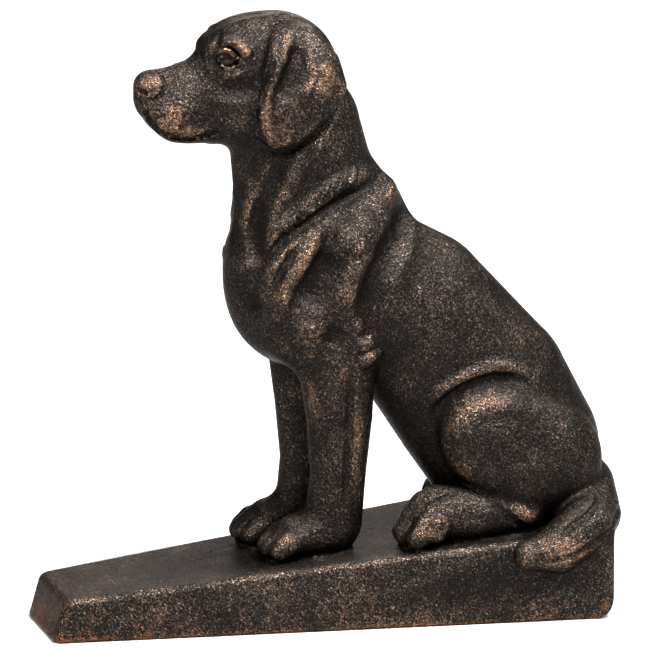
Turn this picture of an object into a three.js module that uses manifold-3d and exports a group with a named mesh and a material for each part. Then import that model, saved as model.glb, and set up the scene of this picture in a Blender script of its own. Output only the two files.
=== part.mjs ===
// A cast-iron doorstop: a dog sitting on a tapered wedge, poured as one solid casting.
// Millimetres, +Z up. The origin is the middle of the wedge's underside, the dog faces -X,
// and its left side, where the tail comes round, faces -Y.

import * as THREE from 'three';
import { edgeTable, triTable } from 'three/addons/objects/MarchingCubes.js';
import Module from 'manifold-3d';

// Wedge
const WEDGE_LENGTH = 161.5;
const TOE_WIDTH = 32;        // across the thin end
const HEEL_WIDTH = 66;       // across the thick end, under the tail
const TOE_HEIGHT = 12.2;
const HEEL_HEIGHT = 26.6;
const TOE_LEAN = 3.6;        // how far the thin end's face leans back over its height
const TOE_CORNER = 2.5;      // radius of the upright corners at the thin end
const HEEL_CORNER = 4;       // and at the thick end
const EDGE_RADIUS = 1.8;     // rounding along the rim of the top
const SUNK = 1.5;            // how deep the casting's dog reaches into the wedge

// Dog
const DOG_HEIGHT = 155;      // crown of the head above the seat
const SEAT_X = 35;           // where the dog's weight rests along the wedge

// Faceting of the finished casting
const GRID = 1.25;           // spacing of the grid that the dog's surface is found on
const FACETS = 9000;         // triangles left on the dog
const HEAD_CARE = 8;         // how much more a change to the head counts than one to the body

// The wedge's top is a plane that climbs from toe to heel, and its sides open out as they go.
const share = (x) => x / WEDGE_LENGTH + 0.5;
const topAt = (x) => TOE_HEIGHT + (HEEL_HEIGHT - TOE_HEIGHT) * share(x);
const halfWidthAt = (x) => (TOE_WIDTH + (HEEL_WIDTH - TOE_WIDTH) * share(x)) / 2;

// The dog is laid out in hundredths of its own height, from the seat up. Its paws, hocks and
// tail take their level from the wedge's top, and the tail its place from the wedge's side.
const UNIT = DOG_HEIGHT / 100;
const SEAT_Z = topAt(SEAT_X);
const ground = (x) => (topAt(x * UNIT) - SEAT_Z) / UNIT;
const edge = (x) => -halfWidthAt(x * UNIT) / UNIT;

// Solid shapes as distance functions: below zero inside, above zero outside.

function joined(a, b, blend) {
  const h = Math.max(blend - Math.abs(a - b), 0) / Math.max(blend, 1e-6);
  return Math.min(a, b) - h * h * blend / 4;
}

const cut = (a, b, blend) => -joined(-a, -b, blend);

function eggDistance(x, y, z, rx, ry, rz) {
  const a = x / rx;
  const b = y / ry;
  const c = z / rz;
  const near = Math.sqrt(a * a + b * b + c * c);
  const slope = Math.sqrt((a / rx) ** 2 + (b / ry) ** 2 + (c / rz) ** 2);
  return slope < 1e-9 ? -Math.min(rx, ry, rz) : near * (near - 1) / slope;
}

// An egg: centre, half-sizes, and how far its top tips towards the tail, in degrees.
function egg([cx, cy, cz], [rx, ry, rz], tip = 0) {
  const c = Math.cos(tip * Math.PI / 180);
  const s = Math.sin(tip * Math.PI / 180);
  return (x, y, z) => {
    const dx = x - cx;
    const dz = z - cz;
    return eggDistance(c * dx - s * dz, y - cy, s * dx + c * dz, rx, ry, rz);
  };
}

// A limb: round stations [x, y, z, radius, half-width across], drawn together into one form.
function limb(...stations) {
  const parts = stations.slice(1).map(([bx, by, bz, br, bw = br], i) => {
    const [ax, ay, az, ar, aw = ar] = stations[i];
    const [ux, uy, uz] = [bx - ax, by - ay, bz - az];
    return { ax, ay, az, ar, aw, ux, uy, uz, dr: br - ar, dw: bw - aw, long: ux * ux + uy * uy + uz * uz };
  });
  return (x, y, z) => {
    let best = Infinity;
    for (const part of parts) {
      const dx = x - part.ax;
      const dy = y - part.ay;
      const dz = z - part.az;
      const along = (dx * part.ux + dy * part.uy + dz * part.uz) / part.long;
      const t = Math.min(Math.max(along, 0), 1);
      const r = part.ar + part.dr * t;
      const w = part.aw + part.dw * t;
      const d = eggDistance(dx - part.ux * t, dy - part.uy * t, dz - part.uz * t, r, w, r);
      best = Math.min(best, d);
    }
    return best;
  };
}

// A flat outline seen from the side, [x, z] points joined up, with rounded corners.
function outline(points, round) {
  return (x, y, z) => {
    let nearest = Infinity;
    let inside = false;
    points.forEach(([ax, az], i) => {
      const [bx, bz] = points[(i + 1) % points.length];
      const ux = bx - ax;
      const uz = bz - az;
      const t = Math.min(Math.max(((x - ax) * ux + (z - az) * uz) / (ux * ux + uz * uz), 0), 1);
      nearest = Math.min(nearest, (x - ax - ux * t) ** 2 + (z - az - uz * t) ** 2);
      if ((az > z) !== (bz > z) && x < ax + ux * (z - az) / uz) inside = !inside;
    });
    return (inside ? -Math.sqrt(nearest) : Math.sqrt(nearest)) - round;
  };
}

// What is drawn on the left side is there on the right side too.
const paired = (shape) => (x, y, z) => shape(x, -Math.abs(y), z);

function blended(blend, ...shapes) {
  return (x, y, z) => shapes.reduce((d, shape) => joined(d, shape(x, y, z), blend), Infinity);
}

// Head

const skull = blended(3,
  egg([-7.8, 0, 89.8], [9.6, 8.2, 9.3]),
  egg([-13.8, 0, 90.4], [8.2, 7.2, 8]),
  limb([-16, 0, 85, 7.5, 6.9], [-23.6, 0, 84.2, 6.5, 5.3], [-28.8, 0, 84.5, 5.1, 4.3]),
  limb([-9, 0, 80.6, 6.6, 6.4], [-19, 0, 79.6, 4.6, 5], [-26.4, 0, 79.2, 2.9, 3.4]),
  paired(egg([-24.8, -2.9, 81], [6.4, 2.7, 4.2])),
  paired(egg([-12.5, -4.8, 84], [7.6, 4.3, 7.2])));
const brows = paired(blended(1.2,
  limb([-19.8, -3, 93, 1.4], [-17.8, -4.2, 94.1, 1.7], [-14.6, -5.6, 93.2, 1.4]),
  limb([-20, -4.2, 89.6, 1], [-18, -5.5, 89.2, 1], [-15.4, -6.3, 90.6, 1])));
const sockets = paired(egg([-18.6, -7.4, 92.4], [2.8, 2, 2]));
const eyeballs = paired(egg([-18.2, -5.5, 92.5], [1.9, 1.8, 1.8]));
const nosePad = egg([-31.1, 0, 86.8], [2.7, 3, 2.5], -15);
const earOutline = outline([[-7.8, 96.8], [-10.2, 90], [-11.5, 84], [-11.4, 79.2], [-9.6, 77.6],
  [-6.4, 78.4], [-0.4, 83.6], [1.7, 86.6], [0.6, 91], [-3, 95.4]], 2);
const earSwell = egg([-5.4, -4.9, 83], [15, 7.4, 15]);
const ears = paired((x, y, z) => cut(earOutline(x, y, z), earSwell(x, y, z), 1.6));

// Neck, chest and back

const trunk = blended(6,
  limb([-4.2, 0, 88, 8.4, 7.6], [-3.6, 0, 76.6, 12.2, 9], [-1.9, 0, 66, 13.4, 9.8],
    [-0.2, 0, 56, 14.8, 11]),
  egg([-2.5, 0, 47.6], [14.1, 11.4, 15.2]),
  limb([3, 0, 48.8, 14.6, 11.8], [10.2, 0, 46.2, 14.9, 12.2], [18.6, 0, 41.2, 15.2, 12.6],
    [31.8, 0, 24.1, 17, 13], [38.2, 0, 13.4, 16.2, 13]),
  egg([8.4, 0, 60.8], [7.4, 7, 6.2], -30));
const shoulders = paired(blended(3,
  egg([5.4, -7.8, 51], [8.4, 4.8, 13], 20),
  egg([-3.4, -7.2, 42], [7, 5.2, 8.4], -12)));

// Forelegs: the left one stands a little behind the right one.

function foreleg(side, back, paw) {
  const g = ground(-4 + back);
  return blended(2,
    limb([-0.6 + back * 0.7, side * 8, 42, 7.2, 4.9], [0.6 + back * 0.8, side * 8, 34, 7.2, 4.8],
      [0.8 + back, side * 7.4, 24, 6.2, 4.7], [0.7 + back, side * 6.8, 13, 5.2, 4.5],
      [0.2 + back, paw, g + 6, 5.4, 4.7]),
    limb([-0.8 + back, paw, g + 4.4, 4.9, 4.7], [-6.6 + back, paw, g + 3.4, 4.1, 4.7]));
}

const elbows = paired(egg([7.8, -9, 37.2], [2.4, 2.8, 2.6]));

function toes(x, y, z, length, spread, radius) {
  const each = [-1.5, -0.5, 0.5, 1.5].map((place) => {
    const reach = length * (1 - 0.09 * place * place);
    return limb([x, y + place * spread * 0.8, z + radius * 0.9, radius, radius * 0.9],
      [x - reach * 0.6, y + place * spread, z + radius * 0.55, radius, radius * 0.92],
      [x - reach, y + place * spread, z, radius * 0.86, radius * 0.86]);
  });
  return blended(0.4, ...each);
}

function forefoot(back, paw) {
  const x = -6.4 + back;
  return toes(x, paw, ground(x - 4) + 2.3, 5.6, 2.45, 2.3);
}

const LEFT_BACK = 2;
const LEFT_PAW = -5.2;
const RIGHT_PAW = 7.4;
const forelegs = [foreleg(-1, LEFT_BACK, LEFT_PAW), foreleg(1, 0, RIGHT_PAW)];
const forefeet = [forefoot(LEFT_BACK, LEFT_PAW), forefoot(0, RIGHT_PAW)];

// Hindquarters

const haunches = paired(blended(3,
  egg([34.2, -10.4, 17.2], [14.4, 7.4, 10.6], 35),
  egg([40.6, -8.4, 13], [12, 8, 12.2])));

// The right hind foot is tucked further back than the left one.
function hindfoot(side, back) {
  const x = 20.6 + back;
  return blended(1,
    limb([37 + back * 0.3, side * 12.4, ground(37) + 3.4, 3.6, 3.8],
      [28 + back * 0.6, side * 12.2, ground(28) + 4.4, 4.8, 4.3],
      [x, side * 11.2, ground(x) + 5.4, 5.3, 4.6]),
    toes(x - 1, side * 11, ground(x - 5) + 2.6, 5.2, 2.4, 2.6));
}
const RIGHT_TUCK = 12;
const hindfeet = [hindfoot(-1, 0), hindfoot(1, RIGHT_TUCK)];
const tail = limb([46, 1, 10.6, 7], [49.9, -5, 6.6, 6.2], [49.6, -11.5, 3.2, 5.8],
  [47, edge(47) + 3.4, ground(47) + 0.4, 5.2], [41, edge(41) + 0.4, ground(41) - 2.4, 4.5],
  [35.4, edge(35) - 1, ground(35) - 2.6, 2.8]);

// Carving: a line that is raised (or, below zero, sunk) along [x, z] points seen from the side.

function line(lift, reach, ...points) {
  const xs = points.map((point) => point[0]);
  const zs = points.map((point) => point[1]);
  const across = [Math.min(...xs) - reach, Math.max(...xs) + reach];
  const upright = [Math.min(...zs) - reach, Math.max(...zs) + reach];
  return { lift, reach, points, box: [...across, ...upright] };
}

const carving = [
  // mouth
  line(-0.7, 1, [-31.6, 82], [-30, 80.2], [-27.6, 79], [-24, 78.4], [-20.3, 79], [-19, 80]),
  // front rim of the ear and the hollow behind it
  line(0.5, 1.2, [-9.4, 96], [-11.4, 90], [-12.6, 84], [-12.4, 79.4], [-10, 77.4]),
  line(-0.6, 2.6, [-7.8, 94], [-8.6, 88]),
  // folds of the neck
  line(0.6, 2.2, [-6.3, 71.2], [-8.9, 67.3], [-10.8, 64.5], [-11.8, 62.6]),
  line(-0.6, 2, [-6.3, 75], [-10, 69], [-13, 62.5]),
  line(0.7, 2.4, [4.2, 68.7], [-1, 66.9], [-4.8, 65], [-8.6, 61.8], [-11.1, 59.2]),
  line(-0.8, 2, [6.7, 66.2], [0.3, 64.2], [-4, 62.2], [-7.8, 59.6], [-10.9, 57]),
  line(1.1, 2.4, [-2.7, 61], [-5, 57.2], [-7.6, 53.8], [-9, 49.9], [-9.5, 46]),
  line(-1.3, 3.6, [-1.4, 54], [-3, 49]),
  // shoulder blade, and the hollow behind it
  line(0.6, 2.6, [7.5, 62.7], [3.7, 60.1], [1.1, 57.6]),
  line(0.6, 2.8, [5.8, 57.3], [4.3, 51.9], [2.2, 48.4], [0.9, 45.6]),
  line(-1.2, 3.8, [15, 62], [12.6, 57.5], [9.4, 53], [8.4, 48], [8.2, 44]),
  // flank fold over the thigh
  line(0.6, 2.6, [18.5, 26.7], [23.9, 30.6], [30.2, 32.4], [36.3, 31.6], [40, 29]),
  line(-0.9, 1.8, [19.4, 21.6], [21.4, 26.2], [24.6, 29], [30.4, 30.6], [36.4, 29.6]),
];

function carved(x, z) {
  let sum = 0;
  for (const { lift, reach, points, box } of carving) {
    if (x < box[0] || x > box[1] || z < box[2] || z > box[3]) continue;
    let nearest = Infinity;
    for (let i = 0; i + 1 < points.length; i++) {
      const [ax, az] = points[i];
      const ux = points[i + 1][0] - ax;
      const uz = points[i + 1][1] - az;
      const t = Math.min(Math.max(((x - ax) * ux + (z - az) * uz) / (ux * ux + uz * uz), 0), 1);
      nearest = Math.min(nearest, (x - ax - ux * t) ** 2 + (z - az - uz * t) ** 2);
    }
    const fall = Math.max(1 - nearest / (reach * reach), 0);
    sum += lift * fall * fall;
  }
  return sum;
}

// The whole dog, cut off flat a little below the wedge's top, except for the tail, which hangs
// over the wedge's side.

function dog(x, y, z) {
  let d = joined(trunk(x, y, z), skull(x, y, z), 3);
  d = joined(d, brows(x, y, z), 1.2);
  d = cut(d, -sockets(x, y, z), 0.6);
  d = joined(d, eyeballs(x, y, z), 0.2);
  d = joined(d, nosePad(x, y, z), 0.8);
  d = joined(d, shoulders(x, y, z), 4);
  d = joined(d, elbows(x, y, z), 1.5);
  d = joined(d, Math.min(...forelegs.map((leg) => leg(x, y, z))), 3);
  d = joined(d, Math.min(...forefeet.map((foot) => foot(x, y, z))), 1);
  d = joined(d, ears(x, y, z), 0.8);
  d -= carved(x, z) * Math.min(Math.abs(y) / 3, 1);
  d = joined(d, haunches(x, y, z), 1.6);
  d = joined(d, Math.min(...hindfeet.map((foot) => foot(x, y, z))), 1);
  const sole = ground(x) - SUNK / UNIT - z;
  d = cut(d, sole, 0.2);
  return joined(d, tail(x, y, z), 1.2);
}

// The surface of a distance function, found on a grid and returned as welded triangles.
function surfaceOf(distance, low, high, step) {
  const cells = low.map((value, i) => Math.ceil((high[i] - value) / step));
  const [nx, ny] = [cells[0] + 1, cells[1] + 1];
  const samples = new Float32Array(nx * ny * (cells[2] + 1)).fill(NaN);
  const at = (i, j, k) => i + nx * (j + ny * k);
  const point = (i, j, k) => [low[0] + i * step, low[1] + j * step, low[2] + k * step];
  const sample = (i, j, k) => {
    const id = at(i, j, k);
    if (Number.isNaN(samples[id])) samples[id] = distance(...point(i, j, k));
    return samples[id];
  };
  const corners = [[0, 0, 0], [1, 0, 0], [1, 1, 0], [0, 1, 0], [0, 0, 1], [1, 0, 1], [1, 1, 1], [0, 1, 1]];
  const edges = [[0, 1], [1, 2], [2, 3], [3, 0], [4, 5], [5, 6], [6, 7], [7, 4],
    [0, 4], [1, 5], [2, 6], [3, 7]];
  const vertices = [];
  const triangles = [];
  const known = new Map();

  function crossing(i, j, k, edgeNumber) {
    const [a, b] = edges[edgeNumber].map((n) => corners[n].map((c, axis) => c + [i, j, k][axis]));
    const [first, second] = at(...a) < at(...b) ? [a, b] : [b, a];
    const axis = first.findIndex((value, n) => value !== second[n]);
    const key = at(...first) * 3 + axis;
    if (!known.has(key)) {
      const da = sample(...first);
      const db = sample(...second);
      const t = Math.min(Math.max(da / (da - db), 0.02), 0.98);
      const place = point(...first);
      place[axis] += t * step;
      known.set(key, vertices.length);
      vertices.push(place);
    }
    return known.get(key);
  }

  const block = 4;
  const blockReach = block * step * 1.6;
  for (let k0 = 0; k0 < cells[2]; k0 += block) {
    for (let j0 = 0; j0 < cells[1]; j0 += block) {
      for (let i0 = 0; i0 < cells[0]; i0 += block) {
        const middle = point(i0 + block / 2, j0 + block / 2, k0 + block / 2);
        if (Math.abs(distance(...middle)) > blockReach) continue;
        for (let k = k0; k < Math.min(k0 + block, cells[2]); k++) {
          for (let j = j0; j < Math.min(j0 + block, cells[1]); j++) {
            for (let i = i0; i < Math.min(i0 + block, cells[0]); i++) {
              let inside = 0;
              corners.forEach(([a, b, c], n) => {
                if (sample(i + a, j + b, k + c) < 0) inside |= 1 << n;
              });
              if (!edgeTable[inside]) continue;
              for (let n = inside * 16; triTable[n] !== -1; n += 3) {
                triangles.push([0, 1, 2].map((m) => crossing(i, j, k, triTable[n + m])));
              }
            }
          }
        }
      }
    }
  }
  return { vertices, triangles };
}

const minus = (a, b) => [a[0] - b[0], a[1] - b[1], a[2] - b[2]];
const dot = (a, b) => a[0] * b[0] + a[1] * b[1] + a[2] * b[2];
const cross = (a, b) => [a[1] * b[2] - a[2] * b[1], a[2] * b[0] - a[0] * b[2], a[0] * b[1] - a[1] * b[0]];

// Fewer triangles for the same form: the edges whose loss moves the surface least are closed up
// first, by the summed squares of the distances to the planes that met there. The mesh stays one
// closed skin, and what lies above the level careAbove keeps finer faces.
function thinned({ vertices, triangles }, target, careAbove) {
  const spots = vertices.map((v) => [...v]);
  const faces = triangles.map((t) => [...t]);
  const around = spots.map(() => new Set());
  const quadrics = spots.map(() => new Float64Array(10));
  const stamp = new Uint32Array(spots.length);
  const gone = new Uint8Array(spots.length);
  const normalOf = ([a, b, c]) => cross(minus(spots[b], spots[a]), minus(spots[c], spots[a]));

  faces.forEach((face, f) => {
    const n = normalOf(face);
    const area = Math.hypot(...n);
    if (area < 1e-12) {
      face.forEach((v) => around[v].add(f));
      return;
    }
    const [a, b, c] = n.map((value) => value / area);
    const weight = area * (spots[face[0]][2] > careAbove ? HEAD_CARE : 1);
    const d = -dot([a, b, c], spots[face[0]]);
    const terms = [a * a, a * b, a * c, a * d, b * b, b * c, b * d, c * c, c * d, d * d];
    face.forEach((v) => {
      around[v].add(f);
      terms.forEach((term, i) => { quadrics[v][i] += term * weight; });
    });
  });

  const error = (q, [x, y, z]) => q[0] * x * x + 2 * q[1] * x * y + 2 * q[2] * x * z + 2 * q[3] * x
    + q[4] * y * y + 2 * q[5] * y * z + 2 * q[6] * y + q[7] * z * z + 2 * q[8] * z + q[9];

  function bestPlace(a, b) {
    const q = quadrics[a].map((value, i) => value + quadrics[b][i]);
    const middle = spots[a].map((value, i) => (value + spots[b][i]) / 2);
    const places = [middle, spots[a], spots[b]];
    const rows = [[q[0], q[1], q[2]], [q[1], q[4], q[5]], [q[2], q[5], q[7]]];
    const right = [-q[3], -q[6], -q[8]];
    const det = dot(rows[0], cross(rows[1], rows[2]));
    const scale = q[0] + q[4] + q[7];
    if (det > 1e-4 * scale * scale * scale) {
      const columns = [0, 1, 2].map((i) => rows.map((row) => row[i]));
      const swap = (i) => dot(right, cross(columns[(i + 1) % 3], columns[(i + 2) % 3]));
      places.push([swap(0) / det, swap(1) / det, swap(2) / det]);
    }
    const costs = places.map((place) => error(q, place));
    const best = costs.indexOf(Math.min(...costs));
    const length = Math.hypot(...minus(spots[a], spots[b]));
    return { a, b, place: places[best], cost: costs[best] + 4e-4 * length * length };
  }

  // A heap of possible collapses, cheapest on top.
  const heap = [];
  function push(item) {
    let i = heap.push(item) - 1;
    while (i > 0) {
      const parent = (i - 1) >> 1;
      if (heap[parent].cost <= item.cost) break;
      heap[i] = heap[parent];
      i = parent;
    }
    heap[i] = item;
  }
  function pop() {
    const top = heap[0];
    const last = heap.pop();
    if (heap.length === 0) return top;
    let i = 0;
    for (;;) {
      let child = 2 * i + 1;
      if (child >= heap.length) break;
      if (child + 1 < heap.length && heap[child + 1].cost < heap[child].cost) child++;
      if (heap[child].cost >= last.cost) break;
      heap[i] = heap[child];
      i = child;
    }
    heap[i] = last;
    return top;
  }
  const offer = (a, b) => push({ ...bestPlace(a, b), stamps: [stamp[a], stamp[b]] });
  const neighbours = (v) => {
    const found = new Set();
    around[v].forEach((f) => faces[f].forEach((w) => w !== v && found.add(w)));
    return found;
  };

  function allowed({ a, b, place }) {
    const near = neighbours(b);
    let shared = 0;
    neighbours(a).forEach((v) => { if (near.has(v)) shared++; });
    if (shared !== 2) return false;
    for (const v of [a, b]) {
      for (const f of around[v]) {
        const face = faces[f];
        if (face.includes(a) && face.includes(b)) continue;
        const before = normalOf(face);
        const [p, q, r] = face.map((w) => (w === v ? place : spots[w]));
        const after = cross(minus(q, p), minus(r, p));
        const sides = [minus(p, q), minus(q, r), minus(r, p)];
        const longest = Math.max(...sides.map((side) => Math.hypot(...side)));
        const size = Math.hypot(...after);
        if (dot(before, after) < 0.3 * Math.hypot(...before) * size) return false;
        if (size < 0.06 * longest * longest) return false;
      }
    }
    return true;
  }

  spots.forEach((spot, v) => neighbours(v).forEach((w) => { if (v < w) offer(v, w); }));
  let left = faces.length;
  while (left > target && heap.length > 0) {
    const step = pop();
    const { a, b } = step;
    if (gone[a] || gone[b] || stamp[a] !== step.stamps[0] || stamp[b] !== step.stamps[1]) continue;
    if (!allowed(step)) continue;
    for (const f of [...around[b]]) {
      const face = faces[f];
      if (face.includes(a)) {
        face.forEach((v) => around[v].delete(f));
        faces[f] = null;
        left--;
      } else {
        face[face.indexOf(b)] = a;
        around[a].add(f);
      }
    }
    around[b].clear();
    gone[b] = 1;
    spots[a] = step.place;
    quadrics[b].forEach((value, i) => { quadrics[a][i] += value; });
    stamp[a]++;
    neighbours(a).forEach((v) => offer(a, v));
  }
  const kept = faces.filter((face) => face !== null);
  const renumber = new Map();
  const out = [];
  const welded = kept.map((face) => face.map((v) => {
    if (!renumber.has(v)) {
      renumber.set(v, out.length);
      out.push(spots[v]);
    }
    return renumber.get(v);
  }));
  return { vertices: out, triangles: welded };
}

// The wedge as a stack of rings with flat caps: upright walls, then the rounded rim of the top.
function wedge() {
  const cornerSteps = 5;
  const rimSteps = 3;

  // One ring of points round the plan, pulled in by a margin, with its toe set back.
  function ring(margin, setBack, heightAt) {
    const toe = -WEDGE_LENGTH / 2 + setBack + margin;
    const heel = WEDGE_LENGTH / 2 - margin;
    const corners = [
      [toe, -1, TOE_CORNER, Math.PI], [heel, -1, HEEL_CORNER, 1.5 * Math.PI],
      [heel, 1, HEEL_CORNER, 0], [toe, 1, TOE_CORNER, 0.5 * Math.PI],
    ];
    return corners.flatMap(([x, side, radius, start]) => {
      const r = Math.max(radius - margin, 0.4);
      const cx = x + (x < 0 ? r : -r);
      const cy = side * (halfWidthAt(cx) - margin - r);
      return Array.from({ length: cornerSteps + 1 }, (unused, i) => {
        const angle = start + (i / cornerSteps) * Math.PI / 2;
        const px = cx + r * Math.cos(angle);
        const py = cy + r * Math.sin(angle);
        return [px, py, heightAt(px)];
      });
    });
  }

  const rings = [ring(0, 0, () => 0)];
  for (let i = 0; i <= rimSteps; i++) {
    const angle = (i / rimSteps) * Math.PI / 2;
    const drop = EDGE_RADIUS * (1 - Math.sin(angle));
    rings.push(ring(EDGE_RADIUS * (1 - Math.cos(angle)), TOE_LEAN, (x) => topAt(x) - drop));
  }
  const size = rings[0].length;
  const vertices = rings.flat();
  const triangles = [];
  for (let level = 0; level + 1 < rings.length; level++) {
    for (let i = 0; i < size; i++) {
      const next = (i + 1) % size;
      const [a, b] = [level * size + i, level * size + next];
      triangles.push([a, b, b + size], [a, b + size, a + size]);
    }
  }
  for (let i = 1; i + 1 < size; i++) {
    triangles.push([0, i + 1, i]);
    const last = (rings.length - 1) * size;
    triangles.push([last, last + i, last + i + 1]);
  }
  return { vertices, triangles };
}

// The casting: the dog's skin and the wedge, joined into one solid.

const wasm = await Module();
wasm.setup();

function solid({ vertices, triangles }) {
  return new wasm.Manifold(new wasm.Mesh({
    numProp: 3,
    vertProperties: new Float32Array(vertices.flat()),
    triVerts: new Uint32Array(triangles.flat()),
  }));
}

const low = [-38, Math.min(edge(52), -20) - 8, Math.min(ground(-14), ground(52)) - 8];
const high = [60, 22, 102];
const skin = surfaceOf(dog, low, high, GRID / UNIT);
const dogFaces = thinned({
  vertices: skin.vertices.map(([x, y, z]) => [x * UNIT, y * UNIT, z * UNIT + SEAT_Z]),
  triangles: skin.triangles.map(([a, b, c]) => [a, c, b]),
}, FACETS, SEAT_Z + 0.74 * DOG_HEIGHT);
const casting = solid(wedge()).add(solid(dogFaces)).getMesh();

const geometry = new THREE.BufferGeometry();
geometry.setAttribute('position', new THREE.BufferAttribute(new Float32Array(casting.vertProperties), 3));
geometry.setIndex(new THREE.BufferAttribute(new Uint32Array(casting.triVerts), 1));
geometry.computeVertexNormals();

const iron = new THREE.MeshStandardMaterial({ color: 0x3a322d, roughness: 0.5, metalness: 0.85 });

const doorstop = new THREE.Mesh(geometry, iron);
doorstop.name = 'dog_doorstop';

const group = new THREE.Group();
group.add(doorstop);

export default group;
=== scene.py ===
"""A cast-iron doorstop: a dog sitting on a tapered wedge, poured as one casting."""
import math

import bmesh
import bpy
import numpy as np
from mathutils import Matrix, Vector


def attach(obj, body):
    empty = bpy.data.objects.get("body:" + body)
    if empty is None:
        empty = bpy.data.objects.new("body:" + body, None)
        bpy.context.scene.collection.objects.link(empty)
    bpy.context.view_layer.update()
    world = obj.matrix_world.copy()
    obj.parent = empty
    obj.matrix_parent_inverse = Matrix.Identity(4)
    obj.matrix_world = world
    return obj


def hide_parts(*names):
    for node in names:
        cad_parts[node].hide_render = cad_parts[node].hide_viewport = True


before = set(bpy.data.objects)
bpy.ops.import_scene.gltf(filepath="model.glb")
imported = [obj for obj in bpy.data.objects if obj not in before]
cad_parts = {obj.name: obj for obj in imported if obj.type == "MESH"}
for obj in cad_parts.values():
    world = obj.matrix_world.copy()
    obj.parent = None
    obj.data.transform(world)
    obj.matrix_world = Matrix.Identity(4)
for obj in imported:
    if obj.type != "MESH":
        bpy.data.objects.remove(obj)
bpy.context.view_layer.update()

# The casting's shape.
# One pour of grey iron, dog and wedge together, from a carved pattern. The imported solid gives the
# form, and here the skin gets what the carver cut into the pattern: folds, eyes, nose and toes.

# The wedge, in millimetres.
WEDGE_LENGTH = 161.5
TOE_WIDTH, HEEL_WIDTH = 32, 66
TOE_HEIGHT, HEEL_HEIGHT = 12.2, 26.6
TOE_LEAN = 3.6
TOE_CORNER, HEEL_CORNER = 2.5, 4
EDGE_RADIUS = 1.8
FOOT_RADIUS, HEEL_FOOT_RADIUS = 1.6, 7
SUNK = 1.5

# The dog is laid out in hundredths of its own height above the seat, in [x, y, z].
DOG_HEIGHT = 155
SEAT_X = 35
UNIT = DOG_HEIGHT / 100


def top_at(x):
    """Height of the wedge's top above the floor, x millimetres from its middle."""
    return TOE_HEIGHT + (HEEL_HEIGHT - TOE_HEIGHT) * (x / WEDGE_LENGTH + 0.5)


def half_width_at(x):
    """Half the wedge's width, x millimetres from its middle."""
    return (TOE_WIDTH + (HEEL_WIDTH - TOE_WIDTH) * (x / WEDGE_LENGTH + 0.5)) / 2


SEAT_Z = top_at(SEAT_X)


def ground(x):
    """Height of the wedge's top at x, in the dog's units, with the seat at 0."""
    return (top_at(x * UNIT) - SEAT_Z) / UNIT


def edge(x):
    """Where the wedge's near edge is at x, in the dog's units."""
    return -half_width_at(x * UNIT) / UNIT


def joined(a, b, blend):
    """The two forms as one, with a fillet between them."""
    h = np.maximum(blend - np.abs(a - b), 0) / max(blend, 1e-6)
    return np.minimum(a, b) - h * h * blend / 4


def cut(a, b, blend):
    """What is inside both forms, with a fillet along the cut."""
    return -joined(-a, -b, blend)


def egg_distance(x, y, z, rx, ry, rz):
    a, b, c = x / rx, y / ry, z / rz
    near = np.sqrt(a * a + b * b + c * c)
    slope = np.sqrt((a / rx) ** 2 + (b / ry) ** 2 + (c / rz) ** 2)
    return near * (near - 1) / np.maximum(slope, 1e-9)


# A form is a distance function with the ball it lies in, so that far points can be left out.

def egg(centre, radii, tip=0):
    """An egg, its top tipped towards the tail by tip degrees."""
    c, s = math.cos(math.radians(tip)), math.sin(math.radians(tip))

    def distance(p):
        x, y, z = (p - centre).T
        return egg_distance(c * x - s * z, y, s * x + c * z, *radii)
    return distance, np.array(centre, float), max(radii)


def limb(*stations):
    """Round stations [x, y, z, radius, half-width across], drawn together into one form."""
    full = np.array([[*s, s[3]] if len(s) == 4 else s for s in stations], float)

    def distance(p):
        best = np.full(len(p), 1e3)
        for a, b in zip(full[:-1], full[1:]):
            along = b[:3] - a[:3]
            t = np.clip((p - a[:3]) @ along / (along @ along), 0, 1)
            x, y, z = (p - a[:3] - t[:, None] * along).T
            r, w = a[3] + t * (b[3] - a[3]), a[4] + t * (b[4] - a[4])
            best = np.minimum(best, egg_distance(x, y, z, r, w, r))
        return best
    middle = (full[:, :3].min(0) + full[:, :3].max(0)) / 2
    reach = (np.linalg.norm(full[:, :3] - middle, axis=1) + full[:, 3:].max(1)).max()
    return distance, middle, reach


def outline(points, rounding):
    """A flat outline seen from the side, [x, z] points joined up, with rounded corners."""
    points = np.array(points, float)

    def distance(p):
        x, z = p[:, 0], p[:, 2]
        nearest = np.full(len(p), 1e6)
        inside = np.zeros(len(p), bool)
        for (ax, az), (bx, bz) in zip(points, np.roll(points, -1, axis=0)):
            ux, uz = bx - ax, bz - az
            t = np.clip(((x - ax) * ux + (z - az) * uz) / (ux * ux + uz * uz), 0, 1)
            nearest = np.minimum(nearest, (x - ax - ux * t) ** 2 + (z - az - uz * t) ** 2)
            crosses = (az > z) != (bz > z)
            inside ^= crosses & (x < ax + ux * (z - az) / (uz if uz else 1))
        return np.where(inside, -1, 1) * np.sqrt(nearest) - rounding
    return distance


def merge(d, p, form, blend):
    """Join one form to the distances d at the points p, where it can matter."""
    distance, centre, reach = form
    near = np.linalg.norm(p - centre, axis=1) - reach < d + blend + 1
    if near.any():
        d[near] = joined(d[near], distance(p[near]), blend)


def blended(blend, *forms):
    """Several forms drawn together into one form."""
    def distance(p):
        d = np.full(len(p), 1e3)
        for form in forms:
            merge(d, p, form, blend)
        return d
    centres = np.array([form[1] for form in forms])
    middle = (centres.min(0) + centres.max(0)) / 2
    reach = max(np.linalg.norm(c - middle) + form[2] for c, form in zip(centres, forms))
    return distance, middle, reach + blend


def on_left(p):
    """The points p, those on the dog's right side mirrored over to its left."""
    return np.column_stack([p[:, 0], -np.abs(p[:, 1]), p[:, 2]])


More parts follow.
